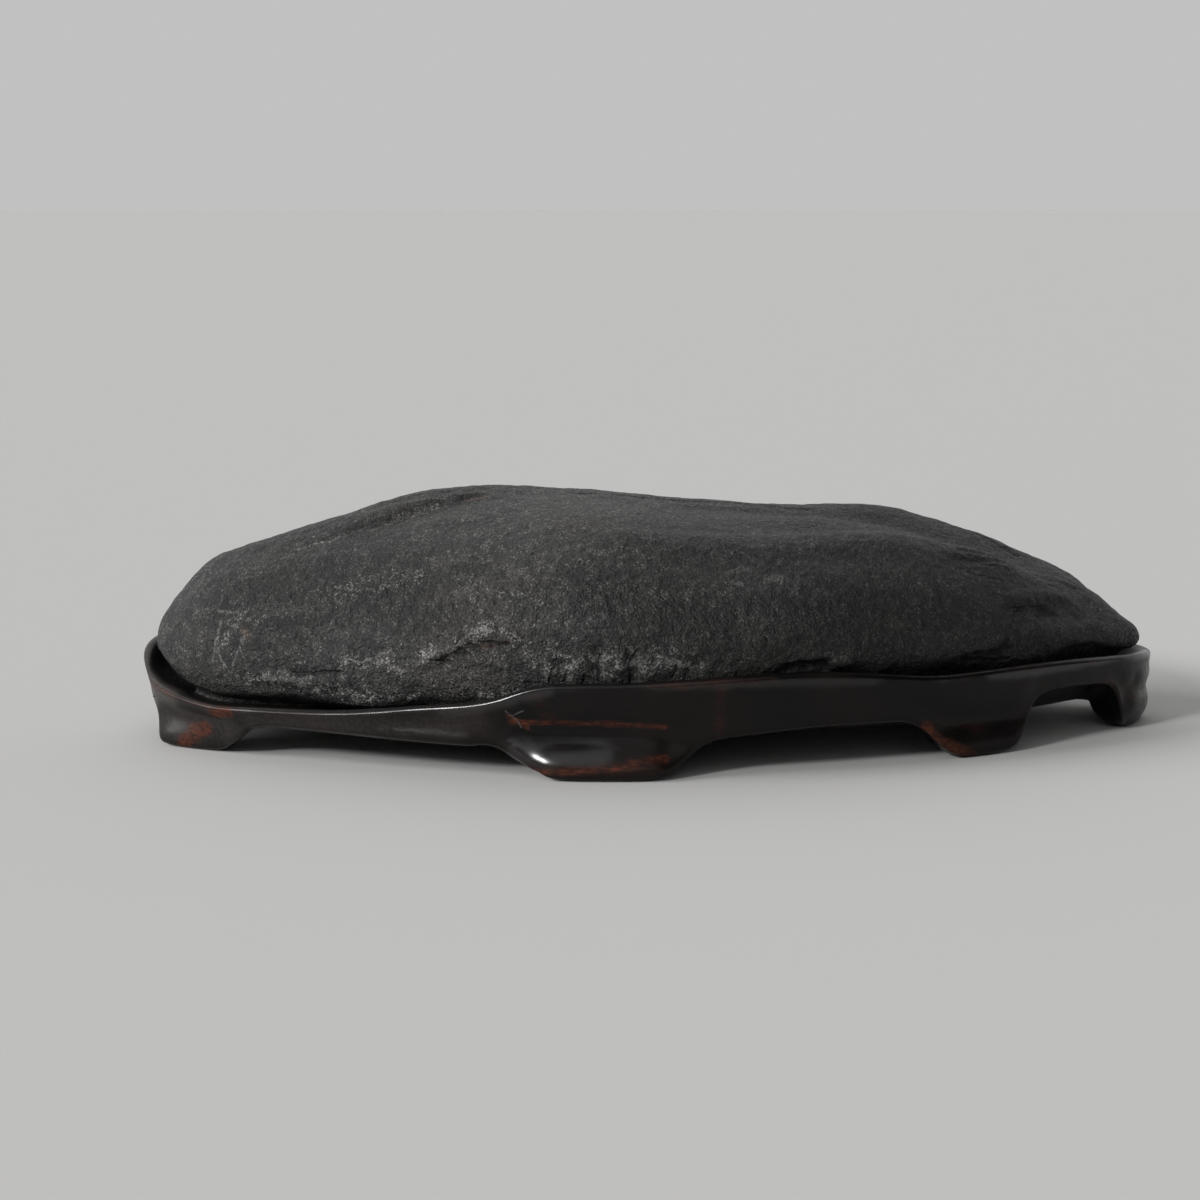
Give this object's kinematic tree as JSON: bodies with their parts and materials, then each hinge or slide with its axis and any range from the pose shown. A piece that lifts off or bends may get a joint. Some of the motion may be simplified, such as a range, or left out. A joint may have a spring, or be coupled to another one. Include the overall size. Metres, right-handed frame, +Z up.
{
  "type": "scholars rock on a carved wooden stand",
  "caption": "Dark river-worn viewing stone, long and low with a shallow saddle, resting in a fitted, lacquered wooden stand with a wavy rim and carved feet.",
  "frame": {"origin": "centre of the bounding box in plan, on the ground under the feet", "axes": "+X along the stone towards its low right tip, +Y to the back, +Z up"},
  "size_m": [0.2922, 0.1491, 0.0687],
  "materials": {
    "stone": "near-black river-worn stone, finely grained and pitted, matt with a faint oiled sheen",
    "lacquered_wood": "black lacquer over red-brown hardwood, satin to glossy, worn red along its ridges"
  },
  "bodies": {
    "root": {"stone": "stone", "stand": "lacquered_wood"}
  },
  "joints": []
}
